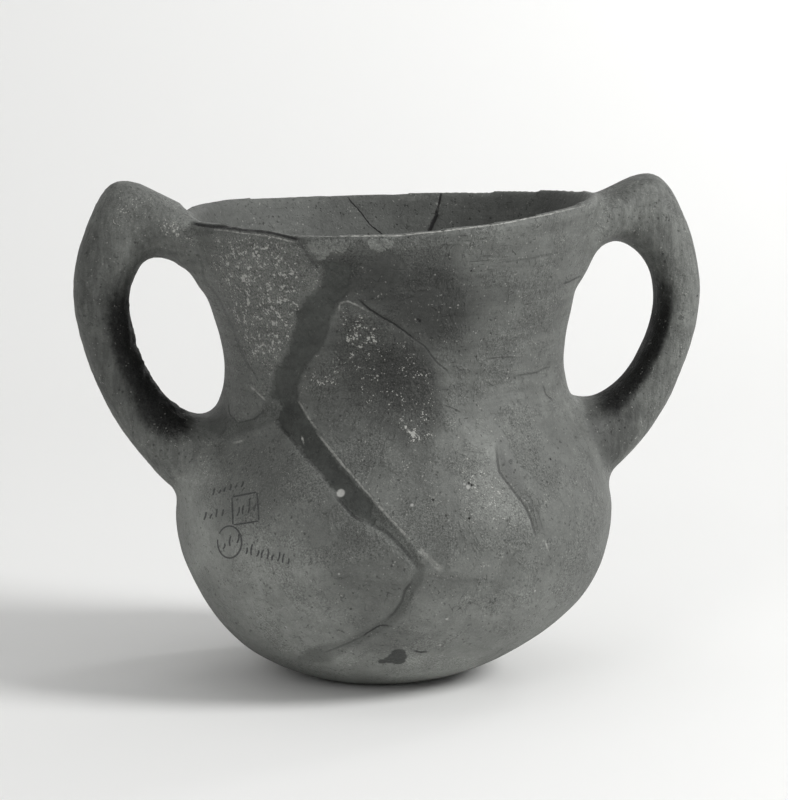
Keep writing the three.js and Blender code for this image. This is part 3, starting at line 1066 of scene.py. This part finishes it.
class Clay(Board):
    """Grey clay, smoothed by hand: clouded, gritty, streaked, crusted and mended."""

    def __init__(self, finish):
        super().__init__("fired_clay")
        self.finish = finish
        here = self.here = self.millimetres()
        flat = self.mapped(here, (0.09, 0.09, 1.0), (0, math.radians(4), 0))
        upright = self.mapped(here, (1.0, 1.0, 0.25))
        self.bent = self.vector("ADD", here, self.noise(here, 0.9, 2.0, output="Color"))
        self.wander = self.minus(self.noise(here, 0.9, 3.0, 0.6), 0.5)
        self.clouds = self.noise(here, 0.028, 3.0, 0.6, 0.6)
        self.mottle = self.noise(here, 0.09, 4.0, 0.62, 0.6)
        self.patch = self.noise(here, 0.45, 3.0, 0.62, 0.3)
        self.ragged = self.times(self.minus(self.patch, 0.5), 3.0)
        self.grit = self.noise(here, 1.7, 3.0, 0.72)
        self.fine = self.noise(here, 3.6, 2.0, 0.6)
        self.brushed = self.noise(flat, 0.42, 4.0, 0.6, 0.3)
        self.streak = self.noise(flat, 1.4, 2.0, 0.62, 0.2)
        self.pulled = self.noise(upright, 0.5, 3.0, 0.65)
        dense = self.noise(here, 0.24, 3.0, 0.65)
        self.dark_dots = self.times(
            self.ramp(self.cells(self.bent, 0.62), 0.34, 0.16), self.ramp(dense, 0.5, 0.36))
        off = self.math("ABSOLUTE", self.minus(self.noise(here, 0.22, 1.0, 0.5, 1.2), 0.5))
        self.hairline = self.times(self.ramp(off, 0.016, 0.003), self.ramp(dense, 0.52, 0.6))
        self.pinholes = self.times(
            self.ramp(self.cells(self.bent, 0.3), 0.12, 0.05), self.ramp(self.mottle, 0.45, 0.6))
        off_handle, inside = self.less(self.value("handle")), self.value("inside")
        height = self.node("ShaderNodeSeparateXYZ", {"Vector": here}).outputs[2]
        self.turned = self.times(self.ramp(height, 84, 108), off_handle, self.less(inside, 0.6))
        rough = self.ramp(self.noise(here, 0.055, 4.0, 0.68, 0.5), 0.46, 0.6)
        rough = self.largest(rough, self.times(self.value("crust"), 0.9))
        self.rough = self.times(rough, self.less(self.value("handle"), 0.55), self.less(inside, 0.8))
        self.dashes = self.times(
            self.ramp(self.streak, 0.38, 0.31, 0.0, 0.4), self.ramp(self.clouds, 0.42, 0.6), self.turned)

    def flakes(self):
        edge = self.plus(self.value("flake"), self.times(self.ragged, 0.4), self.wander)
        return self.times(self.ramp(edge, -0.2, 0.3), self.value("flake_shows"))

    # Painted shade on the handles' sides that face their loops, with a ragged edge
    def soot(self):
        edge = self.plus(self.value("soot"), self.times(self.ragged, 0.25))
        return self.times(self.ramp(edge, 0.1, 1.0), self.swing(self.grit, 1.0, 0.88))

    def tone(self, flakes):
        """How light the clay is, about 1, with painted shade on the handles' sides that face their
        loops.
        """
        gritty = self.times(self.swing(self.grit, -1.0, 1.0), self.ramp(self.rough, 0.0, 1.0, 0.1, 0.42))
        banded = self.times(self.swing(self.brushed, -0.12, 0.12), self.turned)
        pulled = self.times(self.swing(self.pulled, -0.28, 0.12), self.value("handle"))
        laid = self.plus(self.value("tone"), self.times(flakes, self.minus(1.2, self.value("tone"))))
        # The inside is darkened by a quarter: painted shade
        return self.times(
            self.swing(self.clouds, 0.9, 1.1), self.swing(self.mottle, 0.87, 1.13),
            self.swing(self.patch, 0.93, 1.07), self.swing(self.fine, 0.91, 1.09),
            self.plus(1.0, gritty), self.plus(1.0, banded), self.plus(1.0, pulled),
            self.less(self.dashes), self.less(self.hairline, 0.4), self.less(self.dark_dots, 0.45),
            laid, self.less(self.value("inside"), 0.26), self.less(self.soot()))

    def filler(self):
        edge = self.plus(self.value("filler"), self.ragged, self.wander)
        return self.times(self.ramp(edge, -0.8, 1.0), self.value("filler_shows"))

    def filler_tone(self):
        return self.times(
            self.swing(self.mottle, 0.7, 1.24), self.swing(self.patch, 0.85, 1.15),
            self.swing(self.grit, 0.88, 1.12))

    def crust(self, filler):
        """Whitish crust in specks and flecks, thick where the crust value is high."""
        clusters = self.noise(self.here, 0.33, 3.0, 0.72)
        density = self.times(self.value("crust"), self.ramp(clusters, 0.42, 0.62, 0.0, 0.62))
        specks = self.ramp(self.minus(density, self.cells(self.bent, 1.15)), -0.02, 0.1)
        flecks = self.ramp(self.minus(density, self.cells(self.bent, 0.55)), 0.16, 0.26)
        light_dots = self.times(
            self.ramp(self.cells(self.bent, 0.8), 0.3, 0.14), self.ramp(clusters, 0.51, 0.64, 0.0, 0.55))
        haze = self.times(self.value("crust"), self.ramp(self.grit, 0.4, 0.75, 0.0, 0.2))
        return self.times(self.largest(specks, flecks, haze, light_dots), self.less(filler, 0.9))

    def line(self, name, wander, edge):
        """How much a line shows, with a course that wanders and a soft edge."""
        off = self.math("ABSOLUTE", self.plus(self.value(name), self.times(self.wander, wander)))
        off = self.math("DIVIDE", off, self.value(name + "_width"))
        return self.times(self.ramp(off, 0.5, edge, 1.0, 0.0), self.value(name + "_strength"))

    def round_marks(self, camera, tree):
        """A mask from 0 to 1 for each kind of round mark."""
        masks = {}
        for x, y, radius, kind in MARKS:
            hit = tree.ray_cast(camera.eye, camera.ray(x, y))[0]
            if hit is None:
                raise RuntimeError(f"no surface under the mark at {x}, {y}")
            away = self.vector("DISTANCE", self.here, tuple(hit / MM))
            edge = 0.25 if radius < 1 else 0.35
            mask = self.ramp(away, radius - edge, radius + edge, 1.0, 0.0)
            masks[kind] = self.largest(masks[kind], mask) if kind in masks else mask
        return masks

    def relief(self, filler, crust, flakes, crack, pits):
        """The height of the fine relief, in metres."""
        height = self.plus(
            self.times(self.grit, self.ramp(self.rough, 0.0, 1.0, 0.06 * MM, 0.45 * MM)),
            self.times(self.fine, 0.04 * MM),
            self.times(self.patch, self.ramp(self.rough, 0.0, 1.0, 0.3 * MM, 0.7 * MM)),
            self.times(self.mottle, 0.8 * MM),
            self.times(self.brushed, self.turned, 0.3 * MM),
            self.times(self.pulled, self.value("handle"), 0.4 * MM))
        height = self.times(height, self.less(filler, 0.7))
        height = self.plus(height, self.times(crust, 0.12 * MM), self.times(flakes, 0.2 * MM))
        dents = (
            (self.dark_dots, 0.25), (self.hairline, 0.2), (self.dashes, 0.3), (filler, 0.1),
            (crack, 0.4), (pits, 0.6), (self.pinholes, 0.2))
        return self.minus(height, *(self.times(shows, depth * MM) for shows, depth in dents))

    def finished(self, camera, tree):
        finish = self.finish
        flakes, filler = self.flakes(), self.filler()
        colour = self.blend(
            filler, self.tinted(finish.clay, self.tone(flakes)),
            self.tinted(finish.filler, self.filler_tone()))
        crust = self.crust(filler)
        # Chipped and rubbed edges, with painted highlights on raised sherd edges and on the lip
        scar = self.times(self.line("scar", 0.6, 1.5), self.ramp(self.patch, 0.35, 0.6, 0.25, 1.0))
        # Open cracks, with painted shadows at a sherd's foot, beside the lower joint and along the lip
        crack = self.line("crack", 0.5, 1.6)
        masks = self.round_marks(camera, tree)
        stain = self.times(masks["stain"], self.ramp(self.grit, 0.2, 0.6, 0.75, 0.92))
        pale = self.largest(masks["plug"], self.times(masks["chip"], 0.8))
        for tint, shows in (
                (finish.crust, self.times(crust, 0.7)), (finish.crust, scar), (finish.crack, crack),
                (finish.pinhole, self.times(self.pinholes, 0.6)), (finish.stain, stain),
                (finish.pit, masks["pit"]), (finish.pale, self.times(pale, 0.9))):
            colour = self.over(colour, tint, shows)
        gloss = self.swing(self.mottle, finish.roughness - 0.08, finish.roughness + 0.1)
        height = self.relief(filler, crust, flakes, crack, masks["pit"])
        return self.surface(
            Base_Color=colour, Roughness=self.math("ADD", gloss, self.times(crust, 0.2), clamp=True),
            Normal=self.bump(height, 0.8), IOR=1.45, Specular_IOR_Level=0.32)


def ink_finish(finish):
    """Faded drawing ink, thin and broken where it lies on grit."""
    board = Board("ink")
    worn = board.noise(board.millimetres(), 1.4, 3.0, 0.6)
    pale = tuple(0.55 * a + 0.45 * b for a, b in zip(finish.ink, finish.clay)) + (1,)
    return board.surface(
        Base_Color=board.blend(board.ramp(worn, 0.4, 0.65), (*finish.ink, 1), pale),
        Roughness=board.swing(worn, 0.5, 0.75), Normal=board.bump(board.times(worn, 0.03 * MM), 0.6))


def surface_tree(obj):
    return BVHTree.FromObject(obj, bpy.context.evaluated_depsgraph_get())


class JAR_OT_clay(bpy.types.Operator):
    """Shape the jar from its outline and its handles, and mark and finish its surface"""

    bl_idname = "jar.clay"
    bl_label = "Shape the jar"

    def execute(self, context):
        scene = context.scene
        wall = Wall(scene.jar_form)
        camera = PhotoCamera()
        jar = cast_clay(scene.jar_form, wall)
        refine_front(jar.data, camera, wall)
        soften(jar.data, wall)
        mark_surface(jar.data, camera, wall)
        shade_smooth(jar.data)
        context.view_layer.update()
        jar.data.materials.clear()
        jar.data.materials.append(Clay(scene.jar_finish).finished(camera, surface_tree(jar)))
        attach(jar, "root")
        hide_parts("jar")
        return {"FINISHED"}


def ribbon(points, faces, path, camera, tree, width, lift):
    """A thin strip along a path of pixels, laid on the surface."""
    left, right = [], []
    for i, spot in enumerate(path):
        ahead = np.array(path[min(i + 1, len(path) - 1)]) - np.array(path[max(i - 1, 0)])
        ahead = ahead / max(np.linalg.norm(ahead), 1e-9)
        taper = 0.55 + 0.45 * math.sin(math.pi * (i + 0.5) / len(path)) ** 0.5
        across = np.array([-ahead[1], ahead[0]]) * width / 2 * taper / PIXEL
        for store_in, sign in ((left, 1), (right, -1)):
            x, y = np.array(spot) + across * sign
            hit, normal = tree.ray_cast(camera.eye, camera.ray(x, y))[:2]
            if hit is None:
                raise RuntimeError(f"no surface under the stroke at {x:.0f}, {y:.0f}")
            store_in.append((hit, normal))
    start = len(points)
    for a, b in zip(left, right):
        points += [a[0] + a[1] * lift, b[0] + b[1] * lift, a[0] - a[1] * lift, b[0] - b[1] * lift]
    for i in range(len(left) - 1):
        a = start + 4 * i
        faces += [
            (a, a + 1, a + 5, a + 4), (a + 2, a + 6, a + 7, a + 3),
            (a, a + 4, a + 6, a + 2), (a + 1, a + 3, a + 7, a + 5)]
    end = start + 4 * (len(left) - 1)
    faces += [(start, start + 2, start + 3, start + 1), (end, end + 1, end + 3, end + 2)]


def stroke_paths():
    """Rows of short leaning strokes, a frame and a ring, as paths of pixels."""
    paths = []
    for row, (start, end, size) in enumerate(STROKE_ROWS):
        start, end = np.array(start, float), np.array(end, float)
        count = max(3, round(np.linalg.norm(end - start) / STROKE_SPACING))
        for i in range(count):
            foot = start + (end - start) * i / (count - 1)
            lean = 1.6 + 0.7 * math.sin(1.7 * i + row)
            tall = size * (0.75 + 0.25 * math.cos(2.3 * i + row))
            bow = 0.9 * math.sin(2.9 * i + 0.6 * row)
            paths.append([
                (foot[0] + lean * t + bow * math.sin(math.pi * t), foot[1] - tall * t)
                for t in np.linspace(0, 1, STROKE_STEPS)])
    corners = FRAME_CORNERS + FRAME_CORNERS[:1]
    for a, b in zip(corners, corners[1:]):
        paths.append([
            (a[0] + (b[0] - a[0]) * t, a[1] + (b[1] - a[1]) * t)
            for t in np.linspace(0.02, 0.97, SIDE_STEPS)])
    x, y, wide, tall = RING
    paths.append([
        (x + wide * math.cos(a), y + tall * math.sin(a))
        for a in np.linspace(-2.6, 3.3, RING_STEPS)])
    return paths


class JAR_OT_ink(bpy.types.Operator):
    """Lay rows of plain ink strokes, a frame and a ring on the shoulder"""

    bl_idname = "jar.ink"
    bl_label = "Lay the ink strokes"

    def execute(self, context):
        camera = PhotoCamera()
        form = context.scene.jar_form
        tree = surface_tree(bpy.data.objects["jar_clay"])
        points, faces = [], []
        for path in stroke_paths():
            ribbon(points, faces, path, camera, tree, form.stroke_width, form.stroke_lift)
        strokes = add_object("ink_strokes", points, faces)
        strokes.data.materials.append(ink_finish(context.scene.jar_finish))
        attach(strokes, "root")
        return {"FINISHED"}


def area_light(name, where, aim, width, energy):
    lamp = bpy.data.lights.new(name, "AREA")
    lamp.shape = "DISK"
    lamp.size = width
    lamp.energy = energy
    light = bpy.data.objects.new(name, lamp)
    light.location = where
    light.rotation_euler = (Vector(aim) - Vector(where)).to_track_quat("-Z", "Y").to_euler()
    bpy.context.scene.collection.objects.link(light)


class JAR_OT_studio(bpy.types.Operator):
    """Set the pale floor, the soft lights and the camera"""

    bl_idname = "jar.studio"
    bl_label = "Set the studio"

    def execute(self, context):
        scene = context.scene
        studio = scene.jar_studio
        sweep = [(FLOOR_NEAR, 0.0), (FLOOR_BEND, 0.0)]
        for angle in np.linspace(0.1, math.pi / 2, BEND_STEPS):
            back = FLOOR_BEND + BEND_RADIUS * math.sin(angle)
            sweep.append((back, BEND_RADIUS - BEND_RADIUS * math.cos(angle)))
        sweep.append((FLOOR_BEND + BEND_RADIUS, FLOOR_TOP))
        points = [(x, y, z) for y, z in sweep for x in (-FLOOR_HALF_WIDTH, FLOOR_HALF_WIDTH)]
        faces = [(2 * i, 2 * i + 1, 2 * i + 3, 2 * i + 2) for i in range(len(sweep) - 1)]
        backdrop = add_object("floor", points, faces)
        shade_smooth(backdrop.data)
        backdrop.data.materials.append(Board("pale_paper").surface(
            Base_Color=(*studio.floor, 1), Roughness=0.9, Specular_IOR_Level=0.1))

        for name, where, aim, width in LIGHTS:
            area_light(name, where, aim, width, getattr(studio, name + "_power"))
        world = bpy.data.worlds.new("studio")
        world.use_nodes = True
        sky = world.node_tree.nodes["Background"]
        sky.inputs[0].default_value = (1, 1, 1, 1)
        sky.inputs[1].default_value = studio.ambient
        scene.world = world

        lens = bpy.data.cameras.new("camera")
        lens.sensor_fit = "HORIZONTAL"
        lens.sensor_width = 36
        lens.lens = FOCAL_PIXELS / PHOTO_WIDTH * lens.sensor_width
        lens.clip_end = 20
        camera = bpy.data.objects.new("camera", lens)
        camera.matrix_world = PhotoCamera().matrix()
        scene.collection.objects.link(camera)
        scene.camera = camera
        scene.view_settings.view_transform = "Standard"
        return {"FINISHED"}


class JAR_PT_panel(bpy.types.Panel):
    """Lists the jar's operators and its sizes"""

    bl_label = "Jar"
    bl_idname = "JAR_PT_panel"
    bl_space_type = "VIEW_3D"
    bl_region_type = "UI"
    bl_category = "Jar"

    def draw(self, context):
        for operator in (JAR_OT_studio, JAR_OT_clay, JAR_OT_ink):
            self.layout.operator(operator.bl_idname)
        for group in (context.scene.jar_form, context.scene.jar_finish, context.scene.jar_studio):
            box = self.layout.box()
            for name in type(group).__annotations__:
                box.prop(group, name)


CLASSES = (JarForm, JarFinish, JarStudio, JAR_OT_clay, JAR_OT_ink, JAR_OT_studio, JAR_PT_panel)


def register():
    for cls in CLASSES:
        bpy.utils.register_class(cls)
    bpy.types.Scene.jar_form = bpy.props.PointerProperty(type=JarForm)
    bpy.types.Scene.jar_finish = bpy.props.PointerProperty(type=JarFinish)
    bpy.types.Scene.jar_studio = bpy.props.PointerProperty(type=JarStudio)


def unregister():
    del bpy.types.Scene.jar_studio
    del bpy.types.Scene.jar_finish
    del bpy.types.Scene.jar_form
    for cls in reversed(CLASSES):
        bpy.utils.unregister_class(cls)


def main():
    register()
    bpy.ops.jar.studio()
    bpy.ops.jar.clay()
    bpy.ops.jar.ink()


if __name__ == "__main__":
    main()
